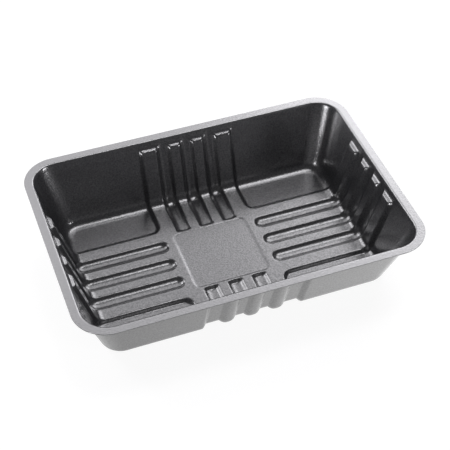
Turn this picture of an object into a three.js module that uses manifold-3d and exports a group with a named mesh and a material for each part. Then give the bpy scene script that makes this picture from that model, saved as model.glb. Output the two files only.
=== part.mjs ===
// Oblong ready-meal tray, thermoformed in one piece from thin dark sheet.
// Lengths are millimetres, +Z is up, the tray stands on the plane z = 0 and the
// middle of its footprint is at x = 0, y = 0. The long side runs along X.
//
// The sheet is modelled as the gap between two nested forms. Each form is the
// plain tapered tub with a cross-shaped floor plateau and four rib bands cut
// back into it, and with round channels left standing in that relief. The outer
// form has skin = 0 and gives the underside. The inner form has skin = SHEET and
// gives the hollow.

import * as THREE from 'three';
import { mergeVertices } from 'three/addons/utils/BufferGeometryUtils.js';
import Module from 'manifold-3d';

const wasm = await Module();
wasm.setup();

// overall sizes
const RIM_LENGTH = 227;
const RIM_WIDTH = 156.3;
const HEIGHT = 46.7;
const SHEET = 0.6;

// plan radii of the corners
const RIM_CORNER_R = 22;
const TOP_CORNER_R = 16.6;
const FOOT_CORNER_R = 12.5;

// where the flat outer wall planes would meet the ground plane
const FOOT_HALF_LENGTH = 94.5;
const FOOT_HALF_WIDTH = 58;

// width of the flat flange from its free edge to the line of the inner wall
const FLANGE_WIDTH = 5.8;

// roundings of the wall section, measured on the underside of the sheet
const BOTTOM_EDGE_R = 5.6;
const LIP_UNDER_R = 0.7;

// floor plateau in the shape of a cross
const PLATEAU_RISE = 1.95;
const PLATEAU_HALF_LENGTH = 30.8;
const PLATEAU_HALF_WIDTH = 30;
const PANEL_CORNER_R = 4.6;
const STEP_ANGLE = THREE.MathUtils.degToRad(42);

// rib band in the middle of each wall
const RIB_DEPTH = 2.4;
const RIB_FOOT_R = 5.6;
const RIB_TOP_R = 0.4;
const LEDGE_FRONT_Z = 40.8;
const LEDGE_SLOPE = THREE.MathUtils.degToRad(25);
const LEDGE_COVE_R = 4.5;

// round channels between the ribs and across the plateau
const CHANNEL_PITCH = 16.4;
const CHANNEL_STEPS_EACH_SIDE = 1;
const CHANNEL_HALF_WIDTH = 5.05;
const CHANNEL_LIP_R = 0.4;
const LONG_CHANNEL_TIP = 30.8;
const CROSS_CHANNEL_TIP = 26.2;
const CROSS_CHANNEL_TIP_R = 2.6;

// square in the middle of the plateau
const SQUARE_HALF_LENGTH = 25.5;
const SQUARE_HALF_WIDTH = 25;
const SQUARE_CORNER_R = 4;
const SQUARE_SINK = 0.4;

// fineness of the round stretches
const CORNER_STEPS = 7;
const EDGE_STEPS = 4;
const CHANNEL_STEPS = 3;
const TIP_STEPS = 3;
const SECTION_STEPS = 4;

// reach of the cutting shapes beyond the tray, and overlap of shapes that are joined
const BEYOND = 12;
const OVERLAP = 0.08;

// slope of the relief above its cove, as a share of the slope of the wall behind it
const COVE_LEAN = 0.97;

// least rounding at a channel tip, as a share of the half width at that height
const TIP_R_SHARE = 0.25;

// points closer than this become one
const WELD_GAP = 0.0006;

// sizes that follow from the ones above
const RIM_HALF_LENGTH = RIM_LENGTH / 2;
const RIM_HALF_WIDTH = RIM_WIDTH / 2;
const DRAFT_LENGTH = draftAngle(RIM_HALF_LENGTH - FLANGE_WIDTH, FOOT_HALF_LENGTH);
const DRAFT_WIDTH = draftAngle(RIM_HALF_WIDTH - FLANGE_WIDTH, FOOT_HALF_WIDTH);

// angle from the upright of a wall whose outer face runs from the foot to the lip
function draftAngle(innerTop, foot) {
  return Math.atan2(innerTop + SHEET - foot, HEIGHT);
}

// half the distance across the tub between two opposite wall faces at height z
function wallReach(z, foot, draft, skin) {
  const line = foot + z * Math.tan(draft) - skin / Math.cos(draft);
  const edgeR = BOTTOM_EDGE_R - skin;
  const tangent = edgeR * (1 - Math.sin(draft)) / Math.cos(draft);
  const rise = z - skin;
  if (rise < edgeR * (1 - Math.sin(draft))) {
    const start = foot + skin * Math.tan(draft) - skin / Math.cos(draft) - tangent;
    return start + Math.sqrt(Math.max(0, edgeR ** 2 - (edgeR - rise) ** 2));
  }
  const lipR = LIP_UNDER_R + skin;
  const lipTop = HEIGHT - SHEET + skin;
  const lipStart = lipTop - lipR * (1 - Math.sin(draft));
  if (z > lipStart) {
    const corner = foot + lipTop * Math.tan(draft) - skin / Math.cos(draft);
    const end = corner + lipR * (1 - Math.sin(draft)) / Math.cos(draft);
    const up = Math.min(z, lipTop) - (lipTop - lipR);
    return end - Math.sqrt(Math.max(0, lipR ** 2 - up ** 2));
  }
  return line;
}

// closed ring of points around a rounded rectangle at height z
function roundedRing(x0, x1, y0, y1, radius, z, steps) {
  const ring = [];
  const centres = [[x1, y1, -1, -1], [x0, y1, 1, -1], [x0, y0, 1, 1], [x1, y0, -1, 1]];
  centres.forEach(([x, y, sx, sy], quarter) => {
    for (let i = 0; i <= steps; i += 1) {
      const a = (quarter + i / steps) * Math.PI / 2;
      ring.push(new THREE.Vector3(
        x + sx * radius + radius * Math.cos(a),
        y + sy * radius + radius * Math.sin(a),
        z,
      ));
    }
  });
  return ring;
}

// skin through rings of equal count, closed by a flat cap at each end
function loft(rings) {
  const count = rings[0].length;
  const positions = rings.flat().flatMap((p) => [p.x, p.y, p.z]);
  const index = [];
  for (let r = 0; r + 1 < rings.length; r += 1) {
    for (let i = 0; i < count; i += 1) {
      const a = r * count + i;
      const b = r * count + (i + 1) % count;
      index.push(a, b, b + count, a, b + count, a + count);
    }
  }
  const top = (rings.length - 1) * count;
  for (let i = 1; i + 1 < count; i += 1) {
    index.push(0, i + 1, i);
    index.push(top, top + i, top + i + 1);
  }
  const geometry = new THREE.BufferGeometry();
  geometry.setAttribute('position', new THREE.Float32BufferAttribute(positions, 3));
  geometry.setIndex(index);
  return geometry;
}

// closed solid made from a surface geometry
function solid(geometry) {
  geometry.deleteAttribute('normal');
  geometry.deleteAttribute('uv');
  const welded = mergeVertices(geometry, WELD_GAP);
  return new wasm.Manifold(new wasm.Mesh({
    numProp: 3,
    vertProperties: new Float32Array(welded.attributes.position.array),
    triVerts: new Uint32Array(welded.index.array),
  }));
}

// surface geometry made from a closed solid
function surface(body) {
  const mesh = body.getMesh();
  const geometry = new THREE.BufferGeometry();
  geometry.setAttribute('position', new THREE.BufferAttribute(mesh.vertProperties, 3));
  geometry.setIndex(new THREE.BufferAttribute(mesh.triVerts, 1));
  return geometry;
}

function joined(bodies) {
  return bodies.reduce((all, body) => all.add(body));
}

// copies of a geometry turned about the upright axis by each of the given turns
function turned(geometry, turns) {
  return turns.map((turn) => solid(geometry.clone().rotateZ(turn)));
}

// heights of the tub sections: close together where its wall section is round
function sectionHeights(skin) {
  const heights = [];
  const edgeRise = (BOTTOM_EDGE_R - skin) * (1 - Math.sin(DRAFT_WIDTH));
  for (let i = 0; i <= EDGE_STEPS; i += 1) {
    const a = (i / EDGE_STEPS) * (Math.PI / 2 - DRAFT_WIDTH);
    heights.push(skin + (BOTTOM_EDGE_R - skin) * (1 - Math.cos(a)));
  }
  const lipR = LIP_UNDER_R + skin;
  const lipTop = HEIGHT - SHEET + skin;
  heights.push(skin + edgeRise + BOTTOM_EDGE_R / 2);
  for (let i = 0; i <= EDGE_STEPS; i += 1) {
    const a = DRAFT_WIDTH + (i / EDGE_STEPS) * (Math.PI / 2 - DRAFT_WIDTH);
    heights.push(lipTop - lipR + lipR * Math.sin(a));
  }
  return heights;
}

// one level of the tub, with its corners tightening towards the foot
function tubRing(z, skin, level) {
  const reachX = wallReach(z, FOOT_HALF_LENGTH, DRAFT_LENGTH, skin);
  const reachY = wallReach(z, FOOT_HALF_WIDTH, DRAFT_WIDTH, skin);
  const line = FOOT_HALF_WIDTH + z * Math.tan(DRAFT_WIDTH);
  const plain = THREE.MathUtils.lerp(FOOT_CORNER_R, TOP_CORNER_R, z / HEIGHT);
  const radius = plain + Math.min(0, reachY - line);
  return roundedRing(-reachX, reachX, -reachY, reachY, radius, level, CORNER_STEPS);
}

// the plain tapered tub as a solid block
function tub(skin) {
  const heights = sectionHeights(skin);
  const rings = heights.map((z) => tubRing(z, skin, z));
  const last = heights[heights.length - 1];
  const above = skin > 0 ? SHEET : SHEET / 2;
  rings.push(tubRing(last, skin, last + above));
  return solid(loft(rings));
}

// outline with each corner rounded by its own radius
function roundedOutline(corners) {
  const path = new THREE.Shape();
  corners.forEach(([x, y, radius], i) => {
    const here = new THREE.Vector2(x, y);
    if (!radius) {
      if (i === 0) path.moveTo(x, y);
      else path.lineTo(x, y);
      return;
    }
    const before = new THREE.Vector2(corners[i - 1][0], corners[i - 1][1]).sub(here).normalize();
    const after = new THREE.Vector2(corners[i + 1][0], corners[i + 1][1]).sub(here).normalize();
    const half = Math.acos(THREE.MathUtils.clamp(before.dot(after), -1, 1)) / 2;
    const along = radius / Math.tan(half);
    const middle = before.clone().add(after).normalize().multiplyScalar(radius / Math.sin(half));
    const centre = here.clone().add(middle);
    const from = here.clone().addScaledVector(before, along).sub(centre).angle();
    const to = here.clone().addScaledVector(after, along).sub(centre).angle();
    path.absarc(centre.x, centre.y, radius, from, to, before.cross(after) > 0);
  });
  return path;
}

// prism of an outline drawn in (outward, up), centred across the wall
function wallPrism(outline, halfWidth) {
  const geometry = new THREE.ExtrudeGeometry(outline, {
    depth: 2 * halfWidth,
    bevelEnabled: false,
    curveSegments: SECTION_STEPS,
  });
  geometry.translate(0, 0, -halfWidth);
  geometry.rotateX(Math.PI / 2);
  return geometry;
}

// meeting point of two lines, each given by a point and a direction
function meet(p, u, q, v) {
  const t = q.clone().sub(p).cross(v) / u.cross(v);
  return p.clone().addScaledVector(u, t);
}

// space under the relief, seen along the wall: plateau, round foot, rib, ledge, cove
function reliefOutline(foot, draft, skin) {
  const up = new THREE.Vector2(Math.sin(draft), Math.cos(draft));
  const level = new THREE.Vector2(1, 0);
  const ledge = new THREE.Vector2(Math.cos(LEDGE_SLOPE), Math.sin(LEDGE_SLOPE));
  const wall = new THREE.Vector2(foot - skin / Math.cos(draft), 0);
  const rib = new THREE.Vector2(wall.x - RIB_DEPTH / Math.cos(draft), 0);
  const front = meet(new THREE.Vector2(0, LEDGE_FRONT_Z - SHEET + skin), level, rib, up);
  const floor = meet(new THREE.Vector2(0, PLATEAU_RISE + skin), level, rib, up);
  const back = meet(front, ledge, wall, up);
  const climb = BEYOND / Math.tan(draft) * COVE_LEAN;
  const outside = new THREE.Vector2(back.x + BEYOND, back.y + climb);
  return roundedOutline([
    [0, -BEYOND, 0],
    [outside.x + BEYOND, -BEYOND, 0],
    [outside.x + BEYOND, outside.y, 0],
    [outside.x, outside.y, 0],
    [back.x, back.y, LEDGE_COVE_R - skin],
    [front.x, front.y, RIB_TOP_R + skin],
    [floor.x, floor.y, RIB_FOOT_R - skin],
    [0, floor.y, 0],
  ]);
}

// raised corner blocks that stand in the floor relief and give the four low panels
function panelBlocks(skin) {
  const top = PLATEAU_RISE + SHEET;
  const shift = (skin - SHEET) / Math.sin(STEP_ANGLE);
  const ring = (z) => {
    const spread = shift + Math.max(0, top - z) / Math.tan(STEP_ANGLE);
    const x0 = PLATEAU_HALF_LENGTH + spread;
    const y0 = PLATEAU_HALF_WIDTH + spread;
    const far = RIM_HALF_LENGTH + BEYOND;
    return roundedRing(x0, far, y0, far, PANEL_CORNER_R, z, EDGE_STEPS);
  };
  const block = loft([ring(-SHEET), ring(top), ring(top + BEYOND)]);
  const mirrored = block.clone().scale(-1, 1, 1);
  mirrored.setIndex(Array.from(mirrored.index.array).reverse());
  return [...turned(block, [0, Math.PI]), ...turned(mirrored, [0, Math.PI])];
}

// limit of the relief on one wall, drawn across the wall as (sideways, inward)
function bandOutline(halfWidth, skin) {
  const slope = Math.tan(STEP_ANGLE);
  const inner = halfWidth + (skin - SHEET) / Math.sin(STEP_ANGLE);
  const depth = RIB_DEPTH + SHEET;
  const outer = inner + (depth + BEYOND) / slope;
  const eased = inner - RIB_DEPTH;
  return roundedOutline([
    [-outer, -BEYOND, 0],
    [outer, -BEYOND, 0],
    [inner, depth, 0],
    [eased, depth + RIB_DEPTH, 0],
    [-eased, depth + RIB_DEPTH, 0],
    [-inner, depth, 0],
  ]);
}

// prism standing along a wall that faces +X, its outline drawn as (sideways, inward)
function leaningPrism(outline, foot, draft) {
  const below = HEIGHT;
  const above = 2 * HEIGHT;
  const geometry = new THREE.ExtrudeGeometry(outline, {
    depth: below + above,
    bevelEnabled: false,
    curveSegments: SECTION_STEPS,
  });
  const sideways = new THREE.Vector3(0, 1, 0);
  const inward = new THREE.Vector3(-Math.cos(draft), 0, Math.sin(draft));
  const upward = new THREE.Vector3(Math.sin(draft), 0, Math.cos(draft));
  const place = new THREE.Matrix4().makeBasis(sideways, inward, upward);
  geometry.translate(0, 0, -below);
  geometry.applyMatrix4(place);
  geometry.translate(foot, 0, 0);
  return geometry;
}

// relief cut into the two walls that face along one axis, with the plateau between
function reliefAlong(foot, draft, halfWidth, skin, turns, plateau) {
  const profile = wallPrism(reliefOutline(foot, draft, skin), RIM_HALF_LENGTH);
  const band = leaningPrism(bandOutline(halfWidth, skin), foot, draft);
  const under = turned(profile, turns);
  const limits = turned(band, turns);
  return joined(under.map((body, i) => body.intersect(plateau.add(limits[i]))));
}

// everything cut back from the plain tub
function relief(skin) {
  const slabTop = PLATEAU_RISE + RIB_FOOT_R + skin;
  const far = RIM_HALF_LENGTH + BEYOND;
  const slab = solid(loft([-BEYOND, slabTop].map(
    (z) => roundedRing(-far, far, -far, far, SHEET, z, 1),
  )));
  const plateau = slab.subtract(joined(panelBlocks(skin)));
  const alongX = reliefAlong(
    FOOT_HALF_LENGTH, DRAFT_LENGTH, PLATEAU_HALF_WIDTH, skin, [0, Math.PI], plateau,
  );
  const quarter = Math.PI / 2;
  const alongY = reliefAlong(
    FOOT_HALF_WIDTH, DRAFT_WIDTH, PLATEAU_HALF_LENGTH, skin, [quarter, -quarter], plateau,
  );
  return alongX.add(alongY);
}

// section of a channel as (half width, height above the channel bottom)
function channelSection(depth, reach, skin) {
  const lipCentre = depth - CHANNEL_LIP_R;
  const round = (CHANNEL_HALF_WIDTH ** 2 - CHANNEL_LIP_R ** 2 + lipCentre ** 2) / (2 * depth);
  const opening = Math.asin(CHANNEL_HALF_WIDTH / (round + CHANNEL_LIP_R));
  const bottomR = round - skin;
  const section = [];
  for (let i = 1; i <= 2 * CHANNEL_STEPS; i += 2) {
    const a = opening * i / (2 * CHANNEL_STEPS - 1);
    section.push([bottomR * Math.sin(a), round - bottomR * Math.cos(a)]);
  }
  section.push([CHANNEL_HALF_WIDTH, depth + skin]);
  const clear = CHANNEL_HALF_WIDTH + SHEET - skin;
  if (skin < SHEET) section.push([clear, depth + skin + OVERLAP]);
  section.push([clear, reach]);
  return section;
}

// channel that runs along +X over the plateau from a tip near the middle
function floorChannel(side, tip, tipR, skin) {
  const section = channelSection(PLATEAU_RISE, HEIGHT + BEYOND, skin);
  const widest = Math.max(...section.map(([half]) => half));
  const rings = section.map(([half, z]) => {
    const back = widest - half;
    const least = half * TIP_R_SHARE;
    const radius = Math.max(least, Math.min(half, (tipR || widest) - back));
    const x0 = tip + back;
    const ring = [
      new THREE.Vector3(RIM_HALF_LENGTH, side - half, z),
      new THREE.Vector3(RIM_HALF_LENGTH, side + half, z),
    ];
    for (let i = 0; i <= TIP_STEPS; i += 1) {
      const a = Math.PI / 2 * (1 + i / TIP_STEPS);
      ring.push(new THREE.Vector3(
        x0 + radius + radius * Math.cos(a),
        side + half - radius + radius * Math.sin(a),
        z,
      ));
    }
    for (let i = 0; i <= TIP_STEPS; i += 1) {
      const a = Math.PI / 2 * (2 + i / TIP_STEPS);
      ring.push(new THREE.Vector3(
        x0 + radius + radius * Math.cos(a),
        side - half + radius + radius * Math.sin(a),
        z,
      ));
    }
    return ring;
  });
  return loft(rings);
}

// channel that runs up the +X wall between two ribs
function wallChannel(side, foot, draft, skin) {
  const section = channelSection(RIB_DEPTH, foot, skin);
  const right = section.map(([half, depth]) => [side + half, depth, 0]);
  const left = section.map(([half, depth]) => [side - half, depth, 0]).reverse();
  return leaningPrism(roundedOutline([...right, ...left]), foot, draft);
}

// all channels for the two walls that face along one axis
function channelsAlong(foot, draft, tip, tipR, skin, turns) {
  const bodies = [];
  for (let n = -CHANNEL_STEPS_EACH_SIDE; n <= CHANNEL_STEPS_EACH_SIDE; n += 1) {
    const side = n * CHANNEL_PITCH;
    const floors = turned(floorChannel(side, tip, tipR, skin), turns);
    const walls = turned(wallChannel(side, foot, draft, skin), turns);
    bodies.push(...floors.map((body, i) => body.intersect(walls[i])));
  }
  return joined(bodies);
}

function channels(skin) {
  const quarter = Math.PI / 2;
  const alongX = channelsAlong(
    FOOT_HALF_LENGTH, DRAFT_LENGTH, LONG_CHANNEL_TIP, 0, skin, [0, Math.PI],
  );
  const alongY = channelsAlong(
    FOOT_HALF_WIDTH, DRAFT_WIDTH, CROSS_CHANNEL_TIP, CROSS_CHANNEL_TIP_R, skin,
    [quarter, -quarter],
  );
  return alongX.add(alongY);
}

// shallow square sunk into the middle of the plateau
function middleSquare(skin) {
  const low = PLATEAU_RISE + skin - SQUARE_SINK;
  const ring = (z, grow) => roundedRing(
    -SQUARE_HALF_LENGTH - grow, SQUARE_HALF_LENGTH + grow,
    -SQUARE_HALF_WIDTH - grow, SQUARE_HALF_WIDTH + grow,
    SQUARE_CORNER_R + grow, z, EDGE_STEPS,
  );
  return solid(loft([ring(low, -SQUARE_SINK), ring(low + 2 * SQUARE_SINK, SQUARE_SINK)]));
}

// one whole form: the underside of the sheet for skin = 0, the hollow for skin = SHEET
function formed(skin) {
  const block = tub(skin);
  const cutBack = block.subtract(relief(skin));
  const standing = block.intersect(channels(skin));
  return joined([cutBack, standing, middleSquare(skin)]);
}

// flat flange around the mouth, still without its opening
function flangePlate() {
  const ring = (z) => roundedRing(
    -RIM_HALF_LENGTH, RIM_HALF_LENGTH, -RIM_HALF_WIDTH, RIM_HALF_WIDTH,
    RIM_CORNER_R, z, CORNER_STEPS,
  );
  return solid(loft([ring(HEIGHT - SHEET), ring(HEIGHT)]));
}

function tray() {
  const body = formed(0).add(flangePlate()).subtract(formed(SHEET));
  const material = new THREE.MeshStandardMaterial({
    color: 0x1b1b1d, roughness: 0.42, metalness: 0,
  });
  const mesh = new THREE.Mesh(surface(body), material);
  mesh.name = 'tray';
  return mesh;
}

const part = new THREE.Group();
part.name = 'food_tray';
part.add(tray());

export default part;
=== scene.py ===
# %% [markdown]
# A thin black tray on a white table
#
# This lesson dresses one finished part: an oblong food tray that a machine draws from
# one sheet of black plastic. The measured solid comes first and stays the judge of
# every size. The new surface has the soft roundings that a hot sheet takes, which the
# solid only hints at.

# %% Load the measured solid
import math

import bmesh
import bpy
import numpy as np
from mathutils import Matrix, Vector


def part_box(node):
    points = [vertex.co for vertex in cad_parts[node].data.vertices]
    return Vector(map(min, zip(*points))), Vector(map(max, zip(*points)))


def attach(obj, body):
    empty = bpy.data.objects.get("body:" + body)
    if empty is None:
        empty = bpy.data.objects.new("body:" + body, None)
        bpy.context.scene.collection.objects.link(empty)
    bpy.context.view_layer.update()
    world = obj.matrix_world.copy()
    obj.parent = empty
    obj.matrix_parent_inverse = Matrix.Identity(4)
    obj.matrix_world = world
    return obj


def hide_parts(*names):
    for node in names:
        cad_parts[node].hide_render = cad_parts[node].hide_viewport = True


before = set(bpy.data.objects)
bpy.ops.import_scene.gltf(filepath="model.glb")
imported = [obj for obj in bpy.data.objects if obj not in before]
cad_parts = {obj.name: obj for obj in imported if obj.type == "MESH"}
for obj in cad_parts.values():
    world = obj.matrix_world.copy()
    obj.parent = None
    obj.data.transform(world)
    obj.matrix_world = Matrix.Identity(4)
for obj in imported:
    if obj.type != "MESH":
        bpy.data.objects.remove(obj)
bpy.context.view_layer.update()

MM = 0.001
low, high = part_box("tray")
HALF_LENGTH = high[0] / MM
HALF_WIDTH = high[1] / MM
HEIGHT = high[2] / MM
print("the solid is", round(2 * HALF_LENGTH, 1), "by", round(2 * HALF_WIDTH, 1), "by",
      round(HEIGHT, 1), "mm")

# %% [markdown]
# The camera is set before anything is made, because it decides what is worth modelling.
# The picture was taken from above the front left corner, at about the height of a
# person who looks down at a table. A long lens keeps the far side of the tray nearly as
# large as the near side. A camera could be placed by hand or by a matrix. Here the pose
# is an aim point, a distance and two angles, with a slight roll, which is easier to
# read and to correct.

# %% Camera
AIM = Vector((0.0122, 0.0245, -0.0005))
CAMERA_DISTANCE = 0.7821
CAMERA_AZIMUTH = math.radians(-20.71)
CAMERA_ELEVATION = math.radians(45.86)
CAMERA_ROLL = math.radians(0.62)
LENS = 91.89
SENSOR = 36.0


def camera_axes():
    across = Vector((math.cos(CAMERA_AZIMUTH), math.sin(CAMERA_AZIMUTH), 0.0))
    flat = Vector((math.sin(CAMERA_AZIMUTH), -math.cos(CAMERA_AZIMUTH), 0.0))
    rise = Vector((0.0, 0.0, math.sin(CAMERA_ELEVATION)))
    back = flat * math.cos(CAMERA_ELEVATION) + rise
    up = back.cross(across)
    rolled = across * math.cos(CAMERA_ROLL) + up * math.sin(CAMERA_ROLL)
    return rolled, back.cross(rolled), back


def aim_camera():
    right, up, back = camera_axes()
    data = bpy.data.cameras.new("camera")
    data.lens = LENS
    data.sensor_width = SENSOR
    camera = bpy.data.objects.new("camera", data)
    bpy.context.scene.collection.objects.link(camera)
    turn = Matrix((right, up, back)).transposed()
    camera.matrix_world = Matrix.Translation(AIM + back * CAMERA_DISTANCE) @ turn.to_4x4()
    return camera


camera = aim_camera()
bpy.context.scene.camera = camera
print("camera at", [round(v, 3) for v in camera.matrix_world.translation])

# %% [markdown]
# A drawn sheet is easiest to describe by the air that it holds. Air fills the space
# inside the tapered walls and above the floor. The raised cross and the ribs take some
# of that air away, and the channels between the ribs give some of it back. All the
# sizes are written first, in millimetres. They are half sizes where the tray is the
# same on both sides of its middle.

# %% Sizes of the tub and its rim
SHEET = 0.6
CUT_EDGE = 0.12
FOOT_HALF_LENGTH = 94.5
FOOT_HALF_WIDTH = 58.0
FLANGE = 5.8
FOOT_CORNER = 12.5
TOP_CORNER = 16.6
RIM_CORNER = 22.0
FLOOR_EDGE_ROUND = 6.5
LIP_ROUND = 1.3

DRAFT_LONG = math.atan2(HALF_LENGTH - FLANGE + SHEET - FOOT_HALF_LENGTH, HEIGHT)
DRAFT_WIDE = math.atan2(HALF_WIDTH - FLANGE + SHEET - FOOT_HALF_WIDTH, HEIGHT)
print("walls lean", round(math.degrees(DRAFT_LONG), 1), "and",
      round(math.degrees(DRAFT_WIDE), 1), "degrees")

# %% Sizes of the relief
PLATEAU_RISE = 1.95
CROSS_HALF_LENGTH = 30.8
CROSS_HALF_WIDTH = 30.0
PANEL_CORNER = 4.6
STEP_SLOPE = math.tan(math.radians(42))
STEP_ROUND = 0.8

RIB_DEPTH = 2.4
RIB_FOOT_ROUND = 6.0
RIB_EDGE_ROUND = 1.0
LEDGE_Z = 40.8
LEDGE_SLOPE = math.tan(math.radians(25))
LEDGE_COVE = 2.2

CHANNEL_PITCH = 16.4
CHANNEL_HALF = 5.05
CHANNEL_POWER = 2.8
LONG_TIP = 30.8
LONG_TIP_SHAPE = 2
CROSS_TIP = 26.2
CROSS_TIP_SHAPE = 4
CROSS_TIP_STEEP = 1.8

SQUARE_HALF_LENGTH = 25.5
SQUARE_HALF_WIDTH = 25.0
SQUARE_CORNER = 4.0
SQUARE_SINK = 0.35
SQUARE_EDGE = 1.6
print("the cross stands", PLATEAU_RISE, "mm above the panels, and the ribs",
      RIB_DEPTH, "mm proud of the walls")

# %% [markdown]
# Every edge of a drawn sheet is round, and a sharp mould edge prints as a soft one. A
# Bevel modifier could round the edges, but where three reliefs meet it makes knots.
# Here each surface is one distance instead: how far a point lies on its air side. A
# soft minimum of two distances rounds an inner edge and a soft maximum rounds an outer
# one. The reach is how near the two have to be to blend. It follows from the wanted
# radius and from how far the sheet turns at that edge, because a slight turn needs only
# a slight blend.

# %% Soft joins of two distances
ROUND_TO_REACH = 1.17


def join_reach(radius, turn):
    return radius * ROUND_TO_REACH * (1 - math.cos(turn))


def soft_min(a, b, reach):
    near = np.maximum(reach - np.abs(a - b), 0.0) / reach
    return np.minimum(a, b) - near * near * reach / 4


def soft_max(a, b, reach):
    return -soft_min(-a, -b, reach)


WALL_TURN = math.pi / 2 - (DRAFT_LONG + DRAFT_WIDE) / 2
LEDGE_TURN = WALL_TURN - math.atan(LEDGE_SLOPE)
FLOOR_EDGE = join_reach(FLOOR_EDGE_ROUND, WALL_TURN)
RIB_FOOT = join_reach(RIB_FOOT_ROUND, WALL_TURN)
LIP = join_reach(LIP_ROUND, WALL_TURN)
LEDGE_COVE_REACH = join_reach(LEDGE_COVE, LEDGE_TURN)
LEDGE_EDGE = join_reach(RIB_EDGE_ROUND, LEDGE_TURN)
STEP_EDGE = join_reach(STEP_ROUND, math.atan(STEP_SLOPE))
print("reach of the floor edge", round(FLOOR_EDGE, 2), "mm and of a step edge",
      round(STEP_EDGE, 2), "mm")

# %% [markdown]
# The plain tub comes before its relief. Its walls lean outwards so that it leaves the
# mould and stacks, and its corners open from a tight foot to a wide mouth. It could be
# lofted between two rounded rectangles. As a distance it stays easy to cut and to join.
# The lines of the foot are those of the outer face, so one sheet is taken off.

# %% Air inside the plain walls
def wall_air(distance, z, foot, draft):
    line = foot + z * math.tan(draft) - SHEET / math.cos(draft)
    return (line - distance) * math.cos(draft)


def tub_air(x, y, z):
    radius = FOOT_CORNER + (TOP_CORNER - FOOT_CORNER) * z / HEIGHT - SHEET
    in_x = radius - wall_air(x, z, FOOT_HALF_LENGTH, DRAFT_LONG)
    in_y = radius - wall_air(y, z, FOOT_HALF_WIDTH, DRAFT_WIDE)
    round_part = np.hypot(np.maximum(in_x, 0.0), np.maximum(in_y, 0.0))
    return radius - round_part - np.minimum(np.maximum(in_x, in_y), 0.0)


MIDDLE = np.zeros(1)
print("air from the middle of the mouth to the wall",
      round(float(tub_air(MIDDLE, MIDDLE, HEIGHT)[0]), 1), "mm")

# %% [markdown]
# The channels stiffen the floor and let air pass under the food. Each runs along the
# floor of the tray and turns up the wall between two ribs. A channel could be swept and
# cut away, but its turn at the wall would need mitring. How deep it is depends only on
# the place beside its middle line, so one profile serves the floor and the wall: nearly
# flat at the bottom, then ever steeper, then straight. The blunt end is the same
# profile measured from the tip. The ends of the short channels are squarer and steeper.

# %% Depth of the channels
DEEP = 3 * RIB_DEPTH


def groove(offset, depth):
    bowl = depth * np.minimum(offset / CHANNEL_HALF, 1.0) ** CHANNEL_POWER
    side = np.maximum(offset - CHANNEL_HALF, 0.0) * depth * CHANNEL_POWER / CHANNEL_HALF
    return bowl + side


def channel_depth(side, along, tip, shape, depth, steep=1.0):
    start = tip + CHANNEL_HALF / steep
    behind = np.maximum(start - along, 0.0) * steep
    found = np.full(np.shape(side), DEEP)
    for n in (-1, 0, 1):
        across = np.abs(side - n * CHANNEL_PITCH)
        offset = (across ** shape + behind ** shape) ** (1 / shape)
        found = np.minimum(found, groove(offset, depth))
    return found


print("a channel on the floor is", 2 * CHANNEL_HALF, "mm wide and", PLATEAU_RISE, "mm deep")

# %% [markdown]
# The raised part of the floor is a cross. It leaves a low panel in each corner of the
# floor, with one round corner towards the middle. The same idea ends the band of four
# ribs on a wall. Both are steps with a sloping face, so their depth is a slope that
# starts at the edge and is softly held at zero beyond it.

# %% Depth of the low panels and of the ends of a rib band
def panel_depth(x, y):
    step = PLATEAU_RISE / STEP_SLOPE
    gap_x = CROSS_HALF_LENGTH + step + PANEL_CORNER - x
    gap_y = CROSS_HALF_WIDTH + step + PANEL_CORNER - y
    outside = np.hypot(np.maximum(gap_x, 0.0), np.maximum(gap_y, 0.0)) - PANEL_CORNER
    return soft_max(outside * STEP_SLOPE, 0.0 * outside, STEP_EDGE)


def band_end_depth(side, half):
    step = RIB_DEPTH / STEP_SLOPE
    return soft_max((half + step - side) * STEP_SLOPE, 0.0 * side, STEP_EDGE)


print("the foot of a step is", round(PLATEAU_RISE / STEP_SLOPE, 2), "mm outside its top")

# %% [markdown]
# A rib stands proud of the wall and stops below the rim in a sloping ledge. A soft cove
# leads from the ledge into the plain wall above it. The whole shape is then put
# together in the order in which a mould maker would think: the raised floor with the
# ribs, cut by the low floor with the plain walls, under a flat rim.

# %% Air of the whole drawn shape
def ribbed_wall_air(distance, z, foot, draft):
    inside = wall_air(distance, z, foot, draft)
    front = foot + LEDGE_Z * math.tan(draft) - (SHEET + RIB_DEPTH) / math.cos(draft)
    above = z - LEDGE_Z - (distance - front) * LEDGE_SLOPE
    over_ledge = above / math.hypot(1, LEDGE_SLOPE)
    stepped = soft_max(inside - RIB_DEPTH, over_ledge, LEDGE_EDGE)
    return soft_min(stepped, inside, LEDGE_COVE_REACH)


def raised_air(x, y, z):
    ribs_x = ribbed_wall_air(x, z, FOOT_HALF_LENGTH, DRAFT_LONG)
    ribs_y = ribbed_wall_air(y, z, FOOT_HALF_WIDTH, DRAFT_WIDE)
    ribs = np.minimum(np.minimum(ribs_x, ribs_y), tub_air(x, y, z))
    return soft_min(z - SHEET - PLATEAU_RISE, ribs, RIB_FOOT)


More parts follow.
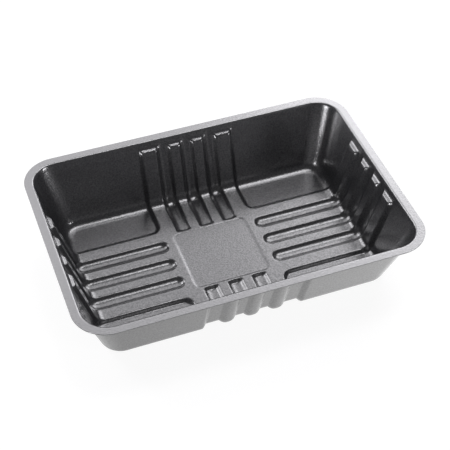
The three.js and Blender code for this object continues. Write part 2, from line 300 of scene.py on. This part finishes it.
def low_air(x, y, z):
    along_x = channel_depth(y, x, LONG_TIP, LONG_TIP_SHAPE, PLATEAU_RISE)
    along_y = channel_depth(x, y, CROSS_TIP, CROSS_TIP_SHAPE, PLATEAU_RISE, CROSS_TIP_STEEP)
    on_floor = np.minimum(np.minimum(along_x, along_y), panel_depth(x, y))
    up_x = channel_depth(y, x, 0.0, LONG_TIP_SHAPE, RIB_DEPTH)
    up_y = channel_depth(x, y, 0.0, LONG_TIP_SHAPE, RIB_DEPTH)
    on_x = np.minimum(up_x, band_end_depth(y, CROSS_HALF_WIDTH))
    on_y = np.minimum(up_y, band_end_depth(x, CROSS_HALF_LENGTH))
    cut_x = wall_air(x, z, FOOT_HALF_LENGTH, DRAFT_LONG) - on_x
    cut_y = wall_air(y, z, FOOT_HALF_WIDTH, DRAFT_WIDE) - on_y
    cuts = np.minimum(np.minimum(cut_x, cut_y), tub_air(x, y, z))
    return soft_min(z - SHEET - on_floor, cuts, FLOOR_EDGE)


def drawn_air(x, y, z):
    relief = soft_max(raised_air(x, y, z), low_air(x, y, z), STEP_EDGE)
    return soft_max(relief, z - HEIGHT, LIP)


print("a rib stops", round(HEIGHT - LEDGE_Z, 1), "mm below the rim")

# %% [markdown]
# The surface itself starts as one square grid. Its middle lines keep an even pitch,
# fine enough for the channels. Its outer lines are drawn together where the wall turns
# into the floor, at the ledges and at the lip, and run wide apart where the sheet is
# flat. Cutting a coarse mesh again and again would spend its faces evenly. Placing the
# lines one by one spends them where the sheet bends.

# %% Where the grid lines lie
MIDDLE_LINES = 56
MIDDLE_HALF = 36.0
RUNS = (10, 16, 4, 16, 4)
KNOTS_LONG = (MIDDLE_HALF, 86.0, 97.0, 102.8, 109.2, HALF_LENGTH)
KNOTS_WIDE = (MIDDLE_HALF, 49.4, 60.4, 66.8, 73.7, HALF_WIDTH)
RADIUS_AT = (MIDDLE_HALF, 90.3, 94.4, 107.8, HALF_LENGTH)
RADIUS_OF = (0.5, 8.3, 12.2, 16.2, RIM_CORNER)


def spread_lines(knots):
    lines = [knots[0]]
    for start, end, count in zip(knots, knots[1:], RUNS):
        lines.extend(start + (end - start) * (i + 1) / count for i in range(count))
    return np.array(lines)


LINES_LONG = spread_lines(KNOTS_LONG)
LINES_WIDE = spread_lines(KNOTS_WIDE)
LINES_RADIUS = np.interp(LINES_LONG, RADIUS_AT, RADIUS_OF)
SIDE_LINES = MIDDLE_LINES + sum(RUNS)
print(2 * SIDE_LINES, "cells along each side of the grid")

# %% [markdown]
# In the four corners the lines bend round, so that they follow the foot and the rim. A
# straight grid would cut the round corners into stairs. Every line outside the middle
# is a ring with its own corner radius. A third of the steps in a corner run along its
# straight stretch, and the others go round its arc.

# %% Bend the grid lines round the corners
STRAIGHT_SHARE = 0.35


def place_in_corner(ring, step, lines_out, lines_side):
    share = step / ring
    out = lines_out[ring]
    side = lines_side[ring]
    radius = LINES_RADIUS[ring]
    if share < STRAIGHT_SHARE:
        far = side - radius
        return out, MIDDLE_HALF + (far - MIDDLE_HALF) * share / STRAIGHT_SHARE
    turn = math.pi / 4 * (share - STRAIGHT_SHARE) / (1 - STRAIGHT_SHARE)
    return out - radius + radius * math.cos(turn), side - radius + radius * math.sin(turn)


def place_line(i, j):
    pitch = MIDDLE_HALF / MIDDLE_LINES
    out_i = i - MIDDLE_LINES
    out_j = j - MIDDLE_LINES
    if out_i <= 0 and out_j <= 0:
        return i * pitch, j * pitch
    if out_j <= 0:
        return LINES_LONG[out_i], j * pitch
    if out_i <= 0:
        return i * pitch, LINES_WIDE[out_j]
    if out_i >= out_j:
        return place_in_corner(out_i, out_j, LINES_LONG, LINES_WIDE)
    y, x = place_in_corner(out_j, out_i, LINES_WIDE, LINES_LONG)
    return x, y


print("the outermost corner point is at",
      [round(float(v), 1) for v in place_line(SIDE_LINES, SIDE_LINES)], "mm")

# %% [markdown]
# Each grid point then rises to the surface of the sheet. At its place on the plan the
# air distance grows steadily with height, so halving an interval again and again finds
# the height where it is zero. All points are treated at once as one array. The square
# in the middle of the floor is too shallow to need any of this. It is taken off the
# height with a smooth edge.

# %% Height of the sheet at each grid point
HALVINGS = 24


def middle_sink(x, y):
    out_x = x - SQUARE_HALF_LENGTH + SQUARE_CORNER
    out_y = y - SQUARE_HALF_WIDTH + SQUARE_CORNER
    outside = np.hypot(np.maximum(out_x, 0.0), np.maximum(out_y, 0.0)) - SQUARE_CORNER
    share = np.clip(0.5 - outside / SQUARE_EDGE, 0.0, 1.0)
    return SQUARE_SINK * share * share * (3 - 2 * share)


def sheet_height(x, y):
    below = np.zeros_like(x)
    above = np.full_like(x, HEIGHT + SHEET)
    for _ in range(HALVINGS):
        middle = (below + above) / 2
        air = drawn_air(x, y, middle) > 0
        above = np.where(air, middle, above)
        below = np.where(air, below, middle)
    return np.minimum((below + above) / 2, HEIGHT) - middle_sink(x, y)


print("floor of the middle square at", round(float(sheet_height(MIDDLE, MIDDLE)[0]), 2), "mm")

# %% [markdown]
# Now the sheet is made. The grid comes from one bmesh operator, with whole numbers as
# its coordinates, so each point knows which line it is on. Its place on the plan and
# its height are then set. The faces are smooth, and the cut edge round the rim is
# marked sharp.

# %% Make the inner face of the sheet
def plan_place(vert):
    i, j = round(vert.co.x), round(vert.co.y)
    x, y = place_line(abs(i), abs(j))
    return math.copysign(x, i), math.copysign(y, j)


def drawn_sheet():
    bm = bmesh.new()
    cells = 2 * SIDE_LINES
    bmesh.ops.create_grid(bm, x_segments=cells, y_segments=cells, size=SIDE_LINES)
    plan = np.array([plan_place(vert) for vert in bm.verts])
    heights = sheet_height(np.abs(plan[:, 0]), np.abs(plan[:, 1]))
    for vert, (x, y), z in zip(bm.verts, plan, heights):
        vert.co = (x * MM, y * MM, z * MM)
    for face in bm.faces:
        face.smooth = True
    for edge in bm.edges:
        edge.smooth = not edge.is_boundary
    mesh = bpy.data.meshes.new("tray_sheet")
    bm.to_mesh(mesh)
    bm.free()
    return mesh


sheet = bpy.data.objects.new("tray_sheet", drawn_sheet())
bpy.context.scene.collection.objects.link(sheet)
print("the sheet has", len(sheet.data.vertices), "points")

# %% [markdown]
# A real tray is one sheet, so its outside is the inside seen through its thickness. The
# Solidify modifier does just that, and every hollow inside becomes a bulge outside. It
# works downwards only, which leaves the rim at its measured height. A narrow Bevel then
# eases the edge that the trimming knife leaves. The piece rides on the tray's body,
# replaces its plain solid and carries its material slot.

# %% Give the sheet its thickness
TRIM_ANGLE = math.radians(70)


def thicken(piece):
    thickness = piece.modifiers.new("sheet thickness", "SOLIDIFY")
    thickness.thickness = SHEET * MM
    thickness.offset = -1.0
    thickness.use_even_offset = True


def ease_cut_edge(piece):
    trim = piece.modifiers.new("eased cut edge", "BEVEL")
    trim.width = CUT_EDGE * MM
    trim.segments = 2
    trim.limit_method = "ANGLE"
    trim.angle_limit = TRIM_ANGLE


thicken(sheet)
ease_cut_edge(sheet)
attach(sheet, "root")
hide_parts("tray")
print("the sheet is", SHEET, "mm thick, with its cut edge eased by", CUT_EDGE, "mm")

# %% [markdown]
# The plastic is black, but it never looks black here, because its smooth skin mirrors
# the lamps. Under the skin a fine grain scatters each reflection into a soft grey
# sheen. A photograph of the grain could be laid on, but it would stretch on the walls.
# A fine noise in the tray's own space, used as a bump and as a slight change in
# strength, has no seam and no stretch. A clear coat gives the crisp lines along the
# channels. It is a little weaker on the floor than on the walls, and the flat rim, which
# the mould has pressed, shines most.

# %% Helpers for the plastic
GRAIN_SCALE = 1000.0
GRAIN_DETAIL = 2.0
BUMP_STRENGTH = 0.5
BUMP_DEPTH = 0.2 * MM


def ramp(tree, value, start, end, low, high):
    node = tree.nodes.new("ShaderNodeMapRange")
    node.inputs["From Min"].default_value = start
    node.inputs["From Max"].default_value = end
    node.inputs["To Min"].default_value = low
    node.inputs["To Max"].default_value = high
    tree.links.new(value, node.inputs["Value"])
    return node.outputs["Result"]


def fine_grain(tree, place):
    grain = tree.nodes.new("ShaderNodeTexNoise")
    grain.inputs["Scale"].default_value = GRAIN_SCALE
    grain.inputs["Detail"].default_value = GRAIN_DETAIL
    tree.links.new(place, grain.inputs["Vector"])
    return grain.outputs["Fac"]


def grain_bump(tree, grain):
    bump = tree.nodes.new("ShaderNodeBump")
    bump.inputs["Strength"].default_value = BUMP_STRENGTH
    bump.inputs["Distance"].default_value = BUMP_DEPTH
    tree.links.new(grain, bump.inputs["Height"])
    return bump.outputs["Normal"]


print("a grain is about", 1 / GRAIN_SCALE / MM, "mm across")

# %% Black plastic sheet
BLACK = (0.022, 0.022, 0.024, 1.0)
SKIN = {
    "Base Color": BLACK,
    "Roughness": 0.3,
    "IOR": 1.65,
    "Coat IOR": 1.8,
    "Coat Roughness": 0.13,
}
SPARKLE = (0.3, 0.7, 0.25, 0.85)
FLOOR_GLOSS = (2 * MM, 12 * MM, 0.8, 1.0)
PRESSED_RIM = (45.5 * MM, 46.6 * MM, 0.0, 1.0)
RIM_SHINE = 1.2


def rim_over_sparkle(tree, rim, sparkle):
    mix = tree.nodes.new("ShaderNodeMix")
    mix.inputs["B"].default_value = RIM_SHINE
    tree.links.new(rim, mix.inputs["Factor"])
    tree.links.new(sparkle, mix.inputs["A"])
    return mix.outputs["Result"]


def black_plastic():
    material = bpy.data.materials.new("satin_black_plastic")
    material.use_nodes = True
    tree = material.node_tree
    shader = tree.nodes["Principled BSDF"]
    for socket, value in SKIN.items():
        shader.inputs[socket].default_value = value
    place = tree.nodes.new("ShaderNodeTexCoord").outputs["Object"]
    split = tree.nodes.new("ShaderNodeSeparateXYZ")
    tree.links.new(place, split.inputs["Vector"])
    grain = fine_grain(tree, place)
    bump = grain_bump(tree, grain)
    tree.links.new(bump, shader.inputs["Normal"])
    tree.links.new(bump, shader.inputs["Coat Normal"])
    gloss = ramp(tree, split.outputs["Z"], *FLOOR_GLOSS)
    tree.links.new(gloss, shader.inputs["Coat Weight"])
    sparkle = ramp(tree, grain, *SPARKLE)
    rim = ramp(tree, split.outputs["Z"], *PRESSED_RIM)
    shine = rim_over_sparkle(tree, rim, sparkle)
    tree.links.new(shine, shader.inputs["Specular IOR Level"])
    return material


sheet.data.materials.append(black_plastic())
print("the sheet wears", sheet.data.materials[0].name)

# %% [markdown]
# The table is a plain white plane that runs out of view on all sides. A white colour
# under a strong lamp would burn out and lose the shadow. So its own colour is a middle
# grey, which keeps the soft shadow, and a glow that only the camera sees lifts it to
# white. A second glow, seen only in reflections, is a painted reflection. It is weaker
# on the left, so the tray's walls mirror a darker table there. It lights nothing,
# because the glow is left out for scattered light.

# %% White table
TABLE_HALF = 6.0
TABLE_GAP = 0.1 * MM
TABLE_GREY = (0.19, 0.19, 0.19, 1.0)
TABLE_ROUGHNESS = 0.9
TABLE_SHEEN = 0.1
WHITE = (1.0, 1.0, 1.0, 1.0)
TABLE_GLOW = 0.9
# Painted reflection: a glow that only glossy rays see, ramped from weaker at the left to full
# at the right, so the tray's walls look brighter on the right.
PAINTED_REFLECTION_RAMP = (-0.1, 0.12, 0.6, 1.0)


def seen_straight(tree, ray):
    seen = tree.nodes.new("ShaderNodeMath")
    seen.operation = "MAXIMUM"
    tree.links.new(ray.outputs["Is Camera Ray"], seen.inputs[0])
    tree.links.new(ray.outputs["Is Transmission Ray"], seen.inputs[1])
    return seen.outputs["Value"]


# Painted reflection: the table glows for glossy rays only, and more strongly towards the
# right.
def painted_reflection_glow(tree, ray):
    place = tree.nodes.new("ShaderNodeTexCoord")
    split = tree.nodes.new("ShaderNodeSeparateXYZ")
    tree.links.new(place.outputs["Object"], split.inputs["Vector"])
    painted_reflection = tree.nodes.new("ShaderNodeMath")
    painted_reflection.operation = "MULTIPLY"
    tree.links.new(ray.outputs["Is Glossy Ray"], painted_reflection.inputs[0])
    tree.links.new(ramp(tree, split.outputs["X"], *PAINTED_REFLECTION_RAMP), painted_reflection.inputs[1])
    return painted_reflection.outputs["Value"]


def table_white():
    material = bpy.data.materials.new("table_white")
    material.use_nodes = True
    tree = material.node_tree
    shader = tree.nodes["Principled BSDF"]
    shader.inputs["Base Color"].default_value = TABLE_GREY
    shader.inputs["Roughness"].default_value = TABLE_ROUGHNESS
    shader.inputs["Specular IOR Level"].default_value = TABLE_SHEEN
    shader.inputs["Emission Color"].default_value = WHITE
    ray = tree.nodes.new("ShaderNodeLightPath")
    glow = tree.nodes.new("ShaderNodeMath")
    glow.operation = "MULTIPLY_ADD"
    glow.inputs[1].default_value = TABLE_GLOW
    tree.links.new(seen_straight(tree, ray), glow.inputs[0])
    tree.links.new(painted_reflection_glow(tree, ray), glow.inputs[2])
    tree.links.new(glow.outputs["Value"], shader.inputs["Emission Strength"])
    return material


def white_table():
    bm = bmesh.new()
    bmesh.ops.create_grid(bm, x_segments=1, y_segments=1, size=TABLE_HALF)
    mesh = bpy.data.meshes.new("white_table")
    bm.to_mesh(mesh)
    bm.free()
    mesh.materials.append(table_white())
    table = bpy.data.objects.new("white_table", mesh)
    table.location.z = -TABLE_GAP
    bpy.context.scene.collection.objects.link(table)
    return table


table = white_table()
print("the table is", 2 * TABLE_HALF, "m wide")

# %% [markdown]
# The room is a pale one. The camera sees it as white above the edge of the table, and
# so would glass. For all other light it is dim, because the dark lines beside each
# bright one in the plastic are reflections of a dark studio. One Background node with a
# Light Path switch does both.

# %% Bright room
DAYLIGHT = (0.975, 0.965, 1.0)
ROOM_SEEN = (0.0, 1.0, 0.13, 1.0)


def bright_room():
    world = bpy.data.worlds.new("bright_room")
    bpy.context.scene.world = world
    world.use_nodes = True
    tree = world.node_tree
    back = tree.nodes["Background"]
    ray = tree.nodes.new("ShaderNodeLightPath")
    strength = ramp(tree, seen_straight(tree, ray), *ROOM_SEEN)
    tree.links.new(strength, back.inputs["Strength"])
    back.inputs["Color"].default_value = (*DAYLIGHT, 1.0)
    return world


print("the world is", bright_room().name)

# %% [markdown]
# Black gloss is lit by what it mirrors, so every lamp here is a broad soft box, placed
# where a surface would mirror it to the camera. The wide box behind whitens the rim and
# the floor. The two at the left and right of it catch the ledges and the roundings on
# the right wall and make the right side brighter. The top box draws the bright line at
# the foot of the back wall and in the channels. The low boxes draw the upright streaks
# in the two far corners. Their powers are kept low enough for a colour to look about as
# it is written.

# %% Studio light
FOOT_LEVEL = (0.0, 0.0, 0.0)
RIM_LEVEL = (0.0, 0.0, 0.04)


def soft_box(name, place, aim, width, height, power):
    data = bpy.data.lights.new(name, "AREA")
    data.shape = "RECTANGLE"
    data.size = width
    data.size_y = height
    data.energy = power
    data.color = DAYLIGHT
    lamp = bpy.data.objects.new(name, data)
    bpy.context.scene.collection.objects.link(lamp)
    lamp.location = place
    facing = Vector(aim) - Vector(place)
    lamp.rotation_euler = facing.to_track_quat("-Z", "Y").to_euler()
    return lamp


lamps = (
    soft_box("back_box", (0.1, 1.22, 1.22), FOOT_LEVEL, 2.8, 0.9, 14.0),
    soft_box("back_left_box", (-0.85, 1.05, 0.85), FOOT_LEVEL, 0.6, 0.8, 5.5),
    soft_box("right_box", (0.9, 1.15, 1.0), FOOT_LEVEL, 0.7, 0.7, 3.4),
    soft_box("far_right_box", (1.05, 0.97, 0.42), RIM_LEVEL, 0.4, 0.3, 1.7),
    soft_box("top_box", (0.45, 0.25, 1.5), FOOT_LEVEL, 0.5, 0.93, 8.0),
    soft_box("left_box", (-1.1, -0.62, 0.25), RIM_LEVEL, 0.3, 0.25, 4.5),
    soft_box("low_right_box", (0.95, -0.95, 0.28), RIM_LEVEL, 0.3, 0.3, 4.5),
)
bpy.context.scene.view_settings.view_transform = "Standard"
print(len(lamps), "soft boxes,", round(sum(lamp.data.energy for lamp in lamps), 1), "W in all")
